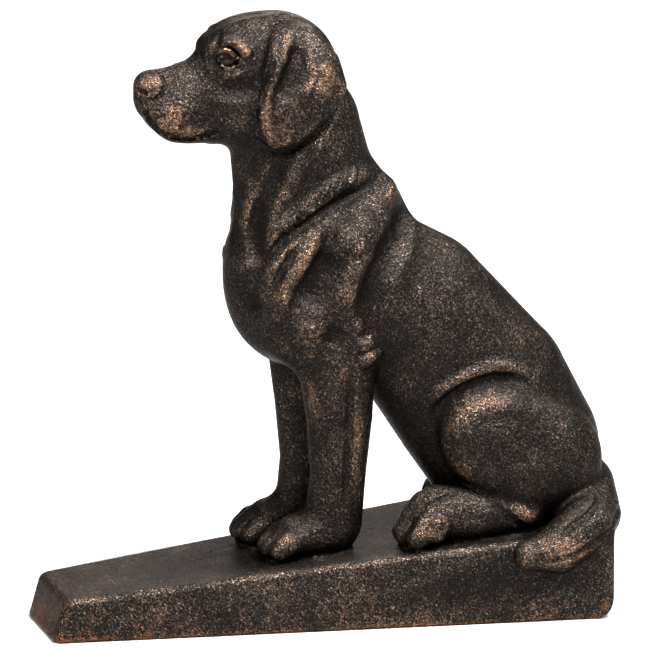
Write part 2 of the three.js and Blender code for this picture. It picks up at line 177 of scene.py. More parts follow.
def paired(form):
    """What is drawn on the left side is there on the right side too."""
    distance, centre, reach = form
    return lambda p: distance(on_left(p)), centre * [1, 0, 1], reach + abs(centre[1])


# Head.
skull = blended(
    3, egg([-7.8, 0, 89.8], [9.6, 8.2, 9.3]), egg([-13.8, 0, 90.4], [8.2, 7.2, 8]),
    limb([-16, 0, 85, 7.5, 6.9], [-23.6, 0, 84.2, 6.5, 5.3], [-28.8, 0, 84.5, 5.1, 4.3]),
    limb([-9, 0, 80.6, 6.6, 6.4], [-19, 0, 79.6, 4.6, 5], [-26.4, 0, 79.2, 2.9, 3.4]),
    paired(egg([-24.8, -2.9, 81], [6.4, 2.7, 4.2])),
    paired(egg([-12.5, -4.8, 84], [7.6, 4.3, 7.2])))
brows = paired(blended(
    1.2, limb([-19.8, -3, 93, 1.4], [-17.8, -4.2, 94.1, 1.7], [-14.6, -5.6, 93.2, 1.4]),
    limb([-20, -4.2, 89.6, 1], [-18, -5.5, 89.2, 1], [-15.4, -6.3, 90.6, 1])))
sockets = paired(egg([-18.6, -7.4, 92.4], [2.8, 2, 2]))
eyeballs = paired(egg([-17.65, -5.3, 92], [2.2, 1.75, 1.85]))
lids = paired(blended(
    0.15, limb([-20.1, -6, 92.3, 0.3], [-19.75, -6, 93.1, 0.4], [-19.3, -6.2, 93.6, 0.45],
               [-18.5, -6.4, 93.9, 0.48], [-17.65, -6.7, 93.6, 0.48], [-16.9, -6.9, 92.9, 0.45],
               [-16.2, -7, 92.1, 0.45], [-15.2, -7.4, 91.2, 0.3]),
    limb([-20, -6.1, 92.1, 0.3], [-19.4, -6.4, 91.1, 0.4], [-18.6, -6.7, 90.5, 0.45],
         [-17.6, -7, 90.4, 0.45], [-16.5, -7.1, 90.8, 0.4], [-15.5, -7.3, 91.2, 0.3])))
EYE = np.array([-18, -6.8, 92.2])
nose_pad = egg([-31.1, 0, 86.8], [2.7, 3, 2.5], -15)
ear_outline = outline(
    [[-7.8, 96.8], [-10.2, 90], [-11.5, 84], [-11.4, 79.2], [-9.6, 77.6], [-6.4, 78.4],
     [-0.4, 83.6], [1.7, 86.6], [0.6, 91], [-3, 95.4]], 2)
ear_swell = egg([-5.4, -4.9, 83], [15, 7.4, 15])
ears = paired((lambda p: cut(ear_outline(p), ear_swell[0](p), 1.6), *ear_swell[1:]))

# Neck, chest and back.
trunk = blended(
    6, limb([-4.2, 0, 88, 8.4, 7.6], [-3.6, 0, 76.6, 12.2, 9], [-1.9, 0, 66, 13.4, 9.8],
            [-0.2, 0, 56, 14.8, 11]),
    egg([-2.5, 0, 47.6], [14.1, 11.4, 15.2]),
    limb([3, 0, 48.8, 14.6, 11.8], [10.2, 0, 46.2, 14.9, 12.2], [18.6, 0, 41.2, 15.2, 12.6],
         [31.8, 0, 24.1, 17, 13], [38.2, 0, 13.4, 16.2, 13]),
    egg([8.4, 0, 60.8], [7.4, 7, 6.2], -30))
shoulders = paired(blended(
    3, egg([5.4, -7.8, 51], [8.4, 4.8, 13], 20), egg([-3.4, -7.2, 42], [7, 5.2, 8.4], -12)))


# Forelegs: the left one stands a little behind the right one.
def foreleg(side, back, paw):
    g = ground(-4 + back)
    return blended(
        2, limb([-0.6 + back * 0.7, side * 8, 42, 7.2, 4.9],
                [0.6 + back * 0.8, side * 8, 34, 7.2, 4.8],
                [0.8 + back, side * 7.4, 24, 6.2, 4.7],
                [0.7 + back, side * 6.8, 13, 5.2, 4.5],
                [0.2 + back, paw, g + 6, 5.4, 4.7]),
        limb([-0.8 + back, paw, g + 4.4, 4.9, 4.7], [-6.6 + back, paw, g + 3.4, 4.1, 4.7]))


def toes(x, y, z, length, spread, radius):
    each = []
    for place in (-1.5, -0.5, 0.5, 1.5):
        reach = length * (1 - 0.09 * place * place)
        each.append(limb(
            [x, y + place * spread * 0.8, z + radius * 0.9, radius, radius * 0.9],
            [x - reach * 0.6, y + place * spread, z + radius * 0.55, radius, radius * 0.92],
            [x - reach, y + place * spread, z, radius * 0.86, radius * 0.86]))
    return blended(0.4, *each)


def forefoot(back, paw):
    x = -6.4 + back
    return toes(x, paw, ground(x - 4) + 2.3, 5.6, 2.45, 2.3)


LEFT_BACK, LEFT_PAW, RIGHT_PAW = 2, -5.2, 7.4
elbows = paired(egg([7.8, -9, 37.2], [2.4, 2.8, 2.6]))
forelegs = blended(0, foreleg(-1, LEFT_BACK, LEFT_PAW), foreleg(1, 0, RIGHT_PAW))
forefeet = blended(0, forefoot(LEFT_BACK, LEFT_PAW), forefoot(0, RIGHT_PAW))

# Hindquarters: the right hind foot is tucked further back than the left one.
haunches = paired(blended(
    3, egg([34.2, -10.4, 17.2], [14.4, 7.4, 10.6], 35), egg([40.6, -8.4, 13], [12, 8, 12.2])))


def hindfoot(side, back):
    x = 20.6 + back
    return blended(
        1, limb([37 + back * 0.3, side * 12.4, ground(37) + 3.4, 3.6, 3.8],
                [28 + back * 0.6, side * 12.2, ground(28) + 4.4, 4.8, 4.3],
                [x, side * 11.2, ground(x) + 5.4, 5.3, 4.6]),
        toes(x - 1, side * 11, ground(x - 5) + 2.6, 5.2, 2.4, 2.6),
        blended(
            0.3, limb([17.4 + back, side * 10.8, 7.4, 1.9], [15.3 + back, side * 10.9, 5, 2],
                      [14.5 + back, side * 11.4, 2.5, 2.1], [14.8 + back, side * 11.6, 1.2, 1.9]),
            limb([18.9 + back, side * 13, 6.9, 1.8], [16.9 + back, side * 13.2, 4.9, 2],
                 [15.9 + back, side * 13.9, 2.8, 2.1], [16.1 + back, side * 14.1, 1.2, 1.9]),
            limb([21.6 + back, side * 13.9, 5.9, 1.6], [19.8 + back, side * 14.6, 4.2, 1.8],
                 [19.1 + back, side * 15, 2.6, 1.9], [19.3 + back, side * 14.8, 1.2, 1.7])))


RIGHT_TUCK = 12
hindfeet = blended(0, hindfoot(-1, 0), hindfoot(1, RIGHT_TUCK))
tail = limb([46, 1, 10.6, 7], [49.9, -5, 6.6, 6.2], [49.6, -11.5, 3.2, 5.8],
            [47, edge(47) + 3.4, ground(47) + 0.4, 5.2],
            [41, edge(41) + 0.4, ground(41) - 2.4, 4.5],
            [35.4, edge(35) - 1, ground(35) - 2.6, 2.8])

# Carving: strokes that raise the surface, or sink it where the lift is below zero. Each is
# [lift, reach, points]; how far a point lies from a stroke counts less across the dog.
ACROSS = 0.45
TAPER = 0.25             # share of a stroke's length over which it fades in or out
BLUNT = 0.3              # how much of it is left at its very end
FACE = [
    # eye: the inner corner, the pouch under it, the brow and the hollow before it
    [-0.5, 0.6, [[-21.2, -5, 91.6], [-20.2, -5.8, 92.4]]],
    [0.4, 1.1, [[-19.2, -6.8, 89.1], [-17.8, -7.3, 89], [-16.2, -7.6, 89.6]]],
    [-0.5, 0.8, [[-18.4, -3.3, 96.2], [-19, -4.2, 95.4], [-19.8, -5.2, 94.2]]],
    [0.7, 1.7, [[-17.6, -4.9, 96], [-16.2, -5.9, 95.2], [-14.9, -7, 93.6], [-14.2, -7.5, 92.2]]],
    [-0.8, 2.8, [[-19.4, -6.5, 86.8], [-16, -7.9, 86.4], [-13.6, -8.4, 88]]],
    # nose wing, nostril and the line below it
    [-0.6, 0.55, [[-30.4, -1, 89.9], [-29.3, -2.4, 88.9], [-28.9, -3.4, 87.3], [-29.6, -4, 85.8],
                  [-31, -3.9, 84.8], [-32.2, -3, 84.7]]],
    [-1.1, 0.7, [[-33.2, -1.8, 86.4], [-32.5, -2.6, 85.9]]],
    # mouth, and the roll of the lip above it
    [-1.2, 0.7, [[-32.2, -2.4, 82.4], [-31.8, -3, 80.9], [-30.7, -4, 79.3], [-29, -4.3, 78.2],
                 [-26.6, -4.6, 77.4], [-24, -4.8, 77.4], [-21.4, -5, 77.9], [-19.8, -5.4, 78.5]]],
    [0.45, 1.2, [[-31.2, -3.4, 81.8], [-29.3, -4.2, 80], [-26.4, -4.6, 79], [-23.6, -4.8, 78.9],
                 [-20.6, -5.2, 79.4]]],
    [0.4, 2.6, [[-29.2, -5, 82.2], [-26.4, -5.2, 81.2]]],
    # ear: the groove round it, the rolled front rim, the hollow and the swelling behind
    [-1.1, 1, [[-10.6, -10.5, 91.6], [-11.7, -10.9, 89.8],
               [-12.9, -11, 86.8], [-13.5, -11.1, 83.3], [-13.3, -11, 80.2], [-12.1, -10.2, 77.1]]],
    [-1, 1.3, [[-12.2, -8.6, 76], [-10.2, -8.4, 74.8], [-7.2, -8.4, 74.8], [-4.6, -8.6, 76.4],
               [-1.2, -8.8, 78], [1.6, -8.6, 81], [4.4, -8.2, 83.4]]],
    [0.8, 1.5, [[-7.2, -8, 96.6], [-7.2, -8.8, 95.4], [-8.3, -9.9, 92.5], [-10.3, -11.1, 89.3],
                [-11.8, -11.8, 85.9], [-12.3, -11.7, 82.4], [-12, -11.8, 79.8],
                [-10.9, -11.5, 77.6]]],
    [-1.4, 2.8, [[-5.6, -9.3, 94.6], [-6.4, -10.1, 92], [-8, -10.9, 88.6], [-9.6, -11.4, 85]]],
    [1.1, 3.2, [[-1.6, -10, 92], [-0.8, -10.8, 88.8], [-2.6, -11.6, 85.6]]],
    [0.5, 1.2, [[-3.9, -10.6, 92.6], [-3.3, -11.3, 89.4], [-5, -12.1, 85.8]]],
]
CROWN = [[-0.7, 1.2, [[-19.4, 0, 95.8], [-18.2, 0, 97.2], [-15.6, 0, 98.4], [-11.9, 0, 99.1],
                      [-7.8, 0, 99.4]]]]
FOLDS = [
    # front of the neck
    [-0.6, 1.6, [[-14.6, -3.2, 70], [-15, -3, 64], [-15.8, -2.4, 58]]],
    [0.7, 1.9, [[-13.5, -4.8, 65.6], [-14, -4.2, 62.6], [-14.7, -3.8, 59.4]]],
    [0.8, 3.2, [[-14.6, -5.4, 54.6], [-14.6, -5.6, 52.4]]],
    [-0.7, 2.6, [[-13.8, -6, 48.6], [-13.4, -6.6, 45]]],
    # folds of the neck, from the nape down to the chest
    [1.1, 2.8, [[-5.4, -9.3, 72], [-7.2, -9.2, 68.3], [-8.8, -8.8, 65.4], [-10.2, -8.5, 61.8],
                [-11, -8.4, 58.6]]],
    [-1.1, 2.2, [[-7.4, -8.7, 74.4], [-9.4, -8.8, 70], [-11.2, -8.1, 65.9], [-12.4, -7.2, 62.7],
                 [-12.9, -7.4, 59.4], [-12.8, -8.2, 53]]],
    [0.5, 1.1, [[-5.2, -9.8, 66], [-7.4, -9.2, 63.2], [-9.2, -8.8, 60.6]]],
    [1.1, 2.2, [[9, -6.9, 69.4], [4.2, -8.8, 69], [1, -9.9, 67.7], [-1.4, -10.2, 66],
                [-4.2, -10.1, 63.8], [-7, -9.5, 61.2], [-10.4, -8.5, 58]]],
    [-1, 1.7, [[9, -7.8, 66.8], [4, -8.6, 65.3], [0.6, -9.2, 64.1], [-2.9, -10, 62.3],
               [-5.8, -9.6, 60.6], [-8.4, -9.1, 58.5], [-11.4, -8.8, 54.8]]],
    [0.8, 2.2, [[-4.4, -11, 60.2], [-6.8, -10.9, 58], [-9, -10.4, 55.6], [-10.8, -10, 52.6],
                [-11.7, -9.6, 49.6], [-11.9, -9.2, 46]]],
    [-0.7, 1, [[-6.6, -11.7, 57.2], [-8.9, -11.4, 53.8], [-10.4, -10.9, 50]]],
    [1.5, 2.6, [[-2.4, -11.8, 60.8], [-3.4, -12.2, 58], [-5.3, -12.6, 55.4], [-7.3, -12.5, 52.8],
                [-8.7, -12.1, 50.4], [-9.4, -11.9, 48], [-9.9, -11.8, 45.4]]],
    [-2, 4.2, [[0, -12.5, 56.4], [-1.6, -12.2, 52.6], [-3, -12.5, 49.8], [-5, -12.9, 46.8]]],
    # point of the shoulder and the upper arm
    [1.4, 4, [[-4.6, -13.2, 43.8], [-4.2, -12.9, 41]]],
    [0.5, 1.8, [[-4.3, -12.6, 38.6], [-4, -12.3, 36.6]]],
    [-1.1, 3, [[1.4, -13.5, 42.4], [-0.6, -13, 39]]],
    # shoulder blade, and the hollow behind it
    [1.8, 5.4, [[8, -9.6, 62], [5.4, -11.2, 59], [3.6, -12.2, 55.4]]],
    [0.9, 2.4, [[3.2, -11.8, 60.6], [1.6, -12.5, 58.4], [0, -13, 56.2]]],
    [0.9, 3.4, [[6.2, -12.6, 57], [4.6, -14, 53], [2.8, -14.3, 49.6], [2.2, -14.5, 46.4]]],
    [-2.1, 4.4, [[16.4, -6, 63], [13.4, -9, 58.4], [10.6, -11.4, 55], [8.8, -12.9, 52],
                 [7.8, -13.5, 49], [7.2, -13.7, 46], [7.2, -13.4, 42]]],
    [0.8, 3.4, [[12.4, -3.6, 66], [13.6, -3.4, 64]]],
    # elbow and the tendon down the back of the foreleg
    [1.2, 1.9, [[4.8, -12.8, 38], [6.8, -12.5, 38.9], [8.2, -12.1, 39.4]]],
    [1.3, 1.8, [[5.2, -12.6, 34.9], [7, -12.4, 35.7], [8.8, -11.9, 36.4]]],
    [0.5, 1.4, [[4.6, -13, 43.6], [5.8, -12.9, 41.2]]],
    [-0.7, 1.2, [[3.8, -12.4, 34], [3.4, -12, 24.3], [3.2, -11.3, 14.6], [3, -10.8, 8]]],
    # flank fold over the thigh
    [0.8, 1.7, [[17.6, -11.6, 25.4], [19.9, -12.4, 28], [22.3, -13.1, 29.9], [24.9, -13.4, 31.2],
                [27.8, -13.2, 32.2], [30.8, -13, 32.6], [34, -12.4, 32.1], [37.4, -11.6, 30.8]]],
    [-0.8, 1.7, [[19.8, -10.9, 21.6], [20.7, -10.9, 24.8], [22.4, -11.5, 27.2], [24.9, -12.2, 29],
               [27.6, -12.5, 30.1], [30.8, -12.3, 30.5], [34.4, -11.9, 30], [37.6, -11.4, 28.6]]],
    [-0.8, 1.5, [[20, -11.4, 22], [20.4, -11.6, 18.2], [21.8, -12, 15], [24, -12.4, 12],
                 [26.8, -13, 9.6]]],
]
# short slanting cuts that make a twisted rope of the upper fold
FOLDS += [[-0.55, 0.7, [[x - 0.8, y, z - 1.5], [x + 0.8, y, z + 1.6]]] for x, y, z in (
    (6.2, -8, 69.2), (4, -8.8, 69), (2, -9.6, 68.2), (0, -10, 67), (-2, -10.2, 65.6),
    (-4, -10.1, 64), (-6, -9.8, 62.2), (-8, -9.2, 60.4))]
THIGH = [
    [1, 3.2, [[24, -12.7, 19], [24.4, -12.5, 23], [26.4, -12.7, 25.4], [29.4, -13.1, 26.4],
              [33, -13.3, 26.4], [36.8, -13, 25]]],
    [0.5, 4, [[27, -13.5, 14.6], [31, -14.6, 10.6]]],
]
FEET = [
    # left hind foot: the long toe behind the others, and the hock
    [-0.5, 0.8, [[24.4, -14, 9.8], [20.9, -14.4, 8.9], [17.4, -14.3, 7.4], [15.4, -14.3, 5.5],
                 [14.1, -14.6, 3.5], [13.5, -14.9, 1.2]]],
    [-0.6, 1, [[29.4, -15.9, 8], [32.6, -16.2, 5], [36, -15.8, 2.7], [40, -14.7, 1.9]]],
    [0.4, 1.6, [[34, -16, 6.6], [37.6, -15.7, 3.6]]],
    # tail: furrows between its locks
    [-0.6, 1.1, [[51, -14.4, 8.2], [48.8, -18.6, 7], [45.7, -21.3, 5.2], [40.5, -22.6, 2.4]]],
    [-0.6, 1.1, [[54.6, -13.1, 4.6], [51.6, -18.4, 3], [48, -22.3, 1], [42.5, -23.8, -1.2],
                 [37.5, -23.2, -1.6]]],
]


def carved(p, strokes, mirror):
    """How far the strokes lift the surface at the points p."""
    scale = np.array([1, ACROSS, 1])
    q = (on_left(p) if mirror else p) * scale
    total = np.zeros(len(p))
    for lift, reach, points in strokes:
        points = np.array(points, float) * scale
        lengths = np.linalg.norm(np.diff(points, axis=0), axis=1)
        low, high = points.min(0) - reach, points.max(0) + reach
        near = ((q > low) & (q < high)).all(1)
        if not near.any():
            continue
        at = q[near]
        nearest = np.full(len(at), 1e6)
        from_end = np.zeros(len(at))
        for start, a, b in zip(np.cumsum(lengths) - lengths, points[:-1], points[1:]):
            along = b - a
            t = np.clip((at - a) @ along / (along @ along), 0, 1)
            gap = at - a - t[:, None] * along
            off = (gap * gap).sum(1)
            closer = off < nearest
            reached = start + t * math.sqrt(along @ along)
            ends = np.minimum(reached, lengths.sum() - reached)
            from_end = np.where(closer, ends, from_end)
            nearest = np.where(closer, off, nearest)
        taper = np.clip(BLUNT + from_end / (TAPER * lengths.sum()), 0, 1)
        total[near] += lift * taper * np.maximum(1 - nearest / reach ** 2, 0) ** 2
    return total


def dog(p):
    """Distance from the dog's skin at the points p, below zero inside."""
    d = np.full(len(p), 1e3)
    merge(d, p, trunk, 0)
    merge(d, p, skull, 3)
    merge(d, p, brows, 1.2)
    distance, centre, reach = sockets
    near = np.linalg.norm(p - centre, axis=1) < reach + 2
    d[near] = cut(d[near], -distance(p[near]), 0.6)
    for form, blend in ((eyeballs, 0.1), (lids, 0.25), (nose_pad, 0.8), (shoulders, 4),
                        (elbows, 1.5), (forelegs, 3), (forefeet, 1), (ears, 0.8)):
        merge(d, p, form, blend)
    d -= carved(p, FACE + FOLDS, True) * np.minimum(np.abs(p[:, 1]), 1)
    d -= carved(p, CROWN, True)
    merge(d, p, haunches, 1.2)
    d -= carved(p, THIGH, True)
    merge(d, p, hindfeet, 1)
    d = cut(d, ground(p[:, 0]) - SUNK / UNIT - p[:, 2], 0.2)
    merge(d, p, tail, 1.2)
    return d - carved(p, FEET, False)


def rounded(a, b, radius):
    """The part inside both a and b, with its corner rounded."""
    corner = np.hypot(np.maximum(a + radius, 0), np.maximum(b + radius, 0))
    return np.minimum(np.maximum(a, b), -radius) + corner


def wedge(p):
    """Distance from the wedge's skin, in the dog's units."""
    x, y, z = p[:, 0] * UNIT, p[:, 1] * UNIT, p[:, 2] * UNIT + SEAT_Z
    opening = (HEEL_WIDTH - TOE_WIDTH) / 2 / WEDGE_LENGTH
    side = (np.abs(y) - half_width_at(x)) / math.hypot(1, opening)
    toe = (-WEDGE_LENGTH / 2 + z / TOE_HEIGHT * TOE_LEAN - x) / math.hypot(1, TOE_LEAN / TOE_HEIGHT)
    walls = rounded(rounded(side, toe, TOE_CORNER), x - WEDGE_LENGTH / 2, HEEL_CORNER)
    climb = (HEEL_HEIGHT - TOE_HEIGHT) / WEDGE_LENGTH
    top = (z - top_at(x)) / math.hypot(1, climb)
    slab = rounded(rounded(walls, top, EDGE_RADIUS), -z, FOOT_RADIUS)
    return np.maximum(slab, rounded(x - WEDGE_LENGTH / 2, -z, HEEL_FOOT_RADIUS)) / UNIT


def casting_distance(p):
    """Distance from the whole casting's skin: the dog run into the wedge with a small fillet."""
    return joined(dog(p), wedge(p), 0.8)


def figure_points(mesh):
    """The mesh's points in the dog's units."""
    co = np.empty(len(mesh.vertices) * 3, np.float32)
    mesh.vertices.foreach_get("co", co)
    return (co.reshape(-1, 3).astype(float) * 1000 - [0, 0, SEAT_Z]) / UNIT


def settle(mesh, wanted=lambda p: np.ones(len(p), bool)):
    """Move the mesh's points, or only the wanted ones, onto the carved surface."""
    probe, passes, furthest = 0.03, 5, 0.6
    every = figure_points(mesh)
    chosen = wanted(every)
    p = every[chosen]
    for turn in range(passes):
        d = casting_distance(p)
        if turn in (0, 2):
            slope = np.stack([casting_distance(p + probe * axis) - d for axis in np.eye(3)], 1)
            slope /= np.maximum(np.linalg.norm(slope, axis=1), probe / 2)[:, None]
        p -= np.clip(d, -furthest, furthest)[:, None] * slope
    every[chosen] = p
    place = (every * UNIT + [0, 0, SEAT_Z]) / 1000
    mesh.vertices.foreach_set("co", place.astype(np.float32).ravel())
    mesh.update()


def with_modifier(piece, kind, **settings):
    """The piece's mesh with one modifier applied to it."""
    modifier = piece.modifiers.new(kind.title(), kind)
    for key, value in settings.items():
        setattr(modifier, key, value)
    seen = piece.evaluated_get(bpy.context.evaluated_depsgraph_get())
    mesh = bpy.data.meshes.new_from_object(seen)
    piece.modifiers.clear()
    old, piece.data = piece.data, mesh
    bpy.data.meshes.remove(old)


def refine(mesh, wanted):
    """Split the mesh's faces into finer ones at the wanted points."""
    chosen = wanted(figure_points(mesh))
    bm = bmesh.new()
    bm.from_mesh(mesh)
    edges = [each for each in bm.edges if chosen[each.verts[0].index]]
    bmesh.ops.subdivide_edges(bm, edges=edges, cuts=1, use_grid_fill=True)
    bmesh.ops.triangulate(bm, faces=bm.faces)
    bm.to_mesh(mesh)
    bm.free()


FACE_BACK, FACE_FOOT = -13, 76


def on_face(p, margin=0.0):
    """Which of the points p lie on the dog's face, or at most a margin outside it."""
    return (p[:, 0] < FACE_BACK + margin) & (p[:, 2] > FACE_FOOT - margin)


def near_eyes(p, reach):
    """Which of the points p lie within reach of the middle of an eye."""
    return np.linalg.norm(on_left(p) - EYE, axis=1) < reach


SKIN_GRID = 0.0007       # metres between the points of the carved skin
MOST_TRIANGLES = 148000  # before the eyes' finer ones are added
EYE_FINE, EYE_FINEST = 3.3, 2.8      # how far round an eye they are split once, and again
EYE_SETTLED = 5

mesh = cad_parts["dog_doorstop"].data.copy()
casting = bpy.data.objects.new("cast_dog", mesh)
bpy.context.scene.collection.objects.link(casting)
bm = bmesh.new()
bm.from_mesh(mesh)
bmesh.ops.remove_doubles(bm, verts=bm.verts, dist=1e-6)
bm.to_mesh(mesh)
bm.free()
with_modifier(casting, "REMESH", mode="VOXEL",
              voxel_size=SKIN_GRID * 1)
settle(casting.data)

# The face gets finer triangles than the rest, and the skin round the eyes the finest.
refine(casting.data, on_face)
settle(casting.data, lambda p: on_face(p, 0.5))
with_modifier(casting, "DECIMATE", ratio=min(1, MOST_TRIANGLES / len(casting.data.polygons)))
refine(casting.data, lambda p: near_eyes(p, EYE_FINE))
refine(casting.data, lambda p: near_eyes(p, EYE_FINEST))
settle(casting.data, lambda p: near_eyes(p, EYE_SETTLED))
casting.data.shade_smooth()

# The casting's finish.
# Grey iron from a sand mould, stained brown-black and waxed. It shows the sand's grain as fine
# satin glints, and the raised edges have been handled down to a warm bronze colour.
# Painted light from above and painted shade in the hollows are laid into the stain's colour.


def shade(hex_code):
    """An sRGB hex value as the linear colour that a shader wants."""
    parts = [int(hex_code[i:i + 2], 16) / 255 for i in (0, 2, 4)]
    return [c / 12.92 if c <= 0.04045 else ((c + 0.055) / 1.055) ** 2.4 for c in parts] + [1]


def add_node(tree, kind, sockets=None, stops=(), **settings):
    """A node with its settings and colour stops, and its sockets set to a value or linked."""
    node = tree.nodes.new(kind)
    for key, value in settings.items():
        setattr(node, key, value)
    band = node.color_ramp.elements if stops else ()
    while len(band) < len(stops):
        band.new(0.5)
    for element, (position, colour) in zip(band, stops):
        element.position, element.color = position, shade(colour)
    for key, value in (sockets or {}).items():
        if isinstance(value, bpy.types.NodeSocket):
            tree.links.new(value, node.inputs[key])
        else:
            node.inputs[key].default_value = value
    return node


# Where hands and floors have rubbed the stain off, drawn as the carving is:
# [how much, reach, points].
RUBBED = [
    [0.81, 4.6, [[-32, -1.6, 88.4], [-31.5, -2.6, 86.6]]],
    [0.81, 4.9, [[-30.2, -4, 82.2], [-26, -5, 80.4]]],
    [0.54, 2, [[-26, -4.8, 79], [-20, -5.2, 80]]],
    [0.6, 1.8, [[-17, -5.8, 95.2], [-14, -7.3, 92.6]]],
    [0.5, 1.2, [[-19.4, -3.4, 95.2], [-19.6, -4.4, 94.4]]],
    [0.5, 0.6, [[-19.3, -6.6, 93.8], [-18.5, -6.8, 94.1], [-17.6, -7.1, 93.8], [-16.9, -7.3, 93]]],
    [0.6, 0.6, [[-19.4, -6.8, 91], [-18.6, -7.1, 90.4], [-17.6, -7.4, 90.3], [-16.4, -7.5, 90.8]]],
    [0.7, 1.8, [[-7.2, -8, 96.6], [-7.4, -9.2, 94.4]]],
    [0.3, 1.6, [[-7.4, -9.2, 94.4], [-10.3, -11.1, 89.3]]],
    [0.7, 2, [[-11.8, -11.8, 85.9], [-12.3, -11.7, 82.4], [-12, -11.8, 79.8],
              [-10.9, -11.5, 77.6]]],
    [0.7, 4.8, [[-1.6, -10.6, 92], [-1, -11, 88.4], [-4, -12, 84.6]]],
    [0.8, 4.1, [[-10.6, -10.5, 78.6], [-7.4, -10.3, 78.4]]],
    [0.45, 2.7, [[-13.5, -4.8, 65.6], [-14.7, -3.8, 59.4]]],
    [0.36, 2, [[1, -9.9, 67.7], [-4.2, -10.1, 63.8]]],
    [0.5, 2.2, [[-3, -12, 59.8], [-5.3, -12.6, 55.4], [-8.7, -12.1, 50.4], [-9.9, -11.8, 45.8]]],
    [0.45, 3.2, [[12.6, -4, 66], [14, -4, 63.6]]],
    [0.45, 3.8, [[3.4, -14.3, 51], [2.2, -14.5, 46.4]]],
    [0.72, 3.8, [[-4.6, -13, 42], [-4.2, -12.6, 39]]],
    [0.9, 2.3, [[7, -12.4, 38], [6.4, -12.5, 36.6]]],
    [0.72, 1.8, [[-3.5, -12, 33], [-3.3, -11.6, 22]]],
    [0.81, 1.4, [[5.4, -11.8, 27], [5.2, -11.2, 15], [5.2, -10.6, 9]]],
    [0.63, 2.4, [[-9.6, -8, 2.4], [-7.6, -10.4, 2]]],
    [0.54, 2.2, [[-12.6, 6, 1.8], [-12.4, 4, 1.6]]],
    [0.54, 2.7, [[21.6, -12.7, 18], [22.2, -12.6, 23], [25.4, -12.8, 27], [33, -13.3, 27.6]]],
    [0.3, 1.5, [[22.3, -13.1, 29.9], [30.8, -13, 32.6]]],
    [0.54, 2.2, [[22.6, -12.9, 15.6], [26, -13.5, 12.4]]],
    [0.9, 2.6, [[34.4, -16, 6.6], [37.6, -15.7, 3.8]]],
    [0.54, 2.4, [[15.4, -16.5, 3.4], [18.5, -16.3, 3]]],
    [0.81, 4.1, [[46, -22.5, 1], [40, -23.2, -0.4], [36, -22.6, -1]]],
]


def store(mesh, name, values):
    """Keep one value for each of the mesh's points, for the material to read."""
    mesh.attributes.new(name, "FLOAT", "POINT").data.foreach_set("value", values.astype(np.float32))


def curve_of(p, probe):
    """How sharply the surface bends at the points p: above zero on edges, below in hollows."""
    around = [casting_distance(p + side * probe * axis) for axis in np.eye(3) for side in (-1, 1)]
    return (sum(around) - 6 * casting_distance(p)) / probe ** 2


# The wedge is worn and rusty where it meets floors and doors. In millimetres:
TOE_FROM = 73            # how far ahead of the wedge's middle that begins at the toe
TOE_WEAR, TOE_RUST = 6, 5
FOOT_WEAR, FOOT_RUST = 1.2, 1.6

# In the dog's units:
EDGE_BEND = 0.5          # how wide a bend has to be to count as an edge
FORM_BEND = 2.5          # and as a swelling of the form
DRESSED = 3              # how far round an eye the sand's grain is dressed away

skin = figure_points(casting.data)
above_floor = np.maximum(skin[:, 2] * UNIT + SEAT_Z, 0)
along_toe = np.maximum(-skin[:, 0] * UNIT - TOE_FROM, 0)
from_eye = np.linalg.norm(on_left(skin) - EYE, axis=1)
rubbed = np.maximum(carved(skin, RUBBED, True), 0)
rubbed += 0.3 * np.minimum(along_toe / TOE_WEAR, 1) + 0.8 * np.exp(-above_floor / FOOT_WEAR)
rusty = np.minimum(along_toe / TOE_RUST, 0.6) + np.exp(-above_floor / FOOT_RUST)
store(casting.data, "rubbed", rubbed)
store(casting.data, "rusty", np.minimum(rusty, 1))
store(casting.data, "edges", np.clip(curve_of(skin, EDGE_BEND), -1.5, 1.5))
store(casting.data, "swelling", np.clip(2.5 * curve_of(skin, FORM_BEND), -1, 1))
store(casting.data, "dressed", 0.85 * np.clip(1.4 - from_eye / DRESSED, 0, 1))


def blend_of(tree, *shares):
    """The sum of several patterns, each times its share."""
    total = 0.0
    for share, pattern in shares:
        total = add_node(tree, "ShaderNodeMath", {0: pattern, 1: share, 2: total},
                         operation="MULTIPLY_ADD").outputs[0]
    return total


GRAIN = 0.00037          # metres across a grain of the mould's sand
CLUMP = 2.5 * GRAIN      # and across a clump of grains
STREAK = 1.6             # how much longer than wide the marks in the coat are
STREAK_LEAN = math.radians(50)   # how far they lean, along the dog's back
BLOTCH = 0.011           # metres across a cloud in the stain
RELIEF = 0.0005          # metres from the grain's pits to its tops

iron = bpy.data.materials.new("stained_cast_iron")
iron.use_nodes = True
tree = iron.node_tree
tree.nodes.clear()

rub, rust_share, edges, swelling, dressed = (
    add_node(tree, "ShaderNodeAttribute", attribute_name=name).outputs["Fac"]
    for name in ("rubbed", "rusty", "edges", "swelling", "dressed"))
normal = add_node(tree, "ShaderNodeNewGeometry").outputs["Normal"]
# how far the skin faces up, used only to lighten the stain as painted light from above
painted_toplight = add_node(tree, "ShaderNodeSeparateXYZ", {"Vector": normal}).outputs["Z"]

# the sand's grain and its clumps, dressed away round the eyes, and clouds in the stain
place = add_node(tree, "ShaderNodeTexCoord").outputs["Object"]
leaning = add_node(tree, "ShaderNodeMapping", {
    "Vector": place, "Rotation": (0, STREAK_LEAN, 0), "Scale": (STREAK, 1, 1)},
    vector_type="TEXTURE").outputs["Vector"]
grain, clumps = (add_node(tree, "ShaderNodeTexNoise", {
    "Vector": leaning, "Scale": 1 / size, "Detail": 2.0, "Roughness": 0.6}).outputs["Fac"]
    for size in (GRAIN, CLUMP))
grain, clumps = (add_node(tree, "ShaderNodeMix", {0: dressed, 2: pattern, 3: 0.47}).outputs[0]
                 for pattern in (grain, clumps))
clouds = add_node(tree, "ShaderNodeTexNoise", {
    "Vector": place, "Scale": 1 / BLOTCH, "Detail": 4.0, "Roughness": 0.7}).outputs["Fac"]
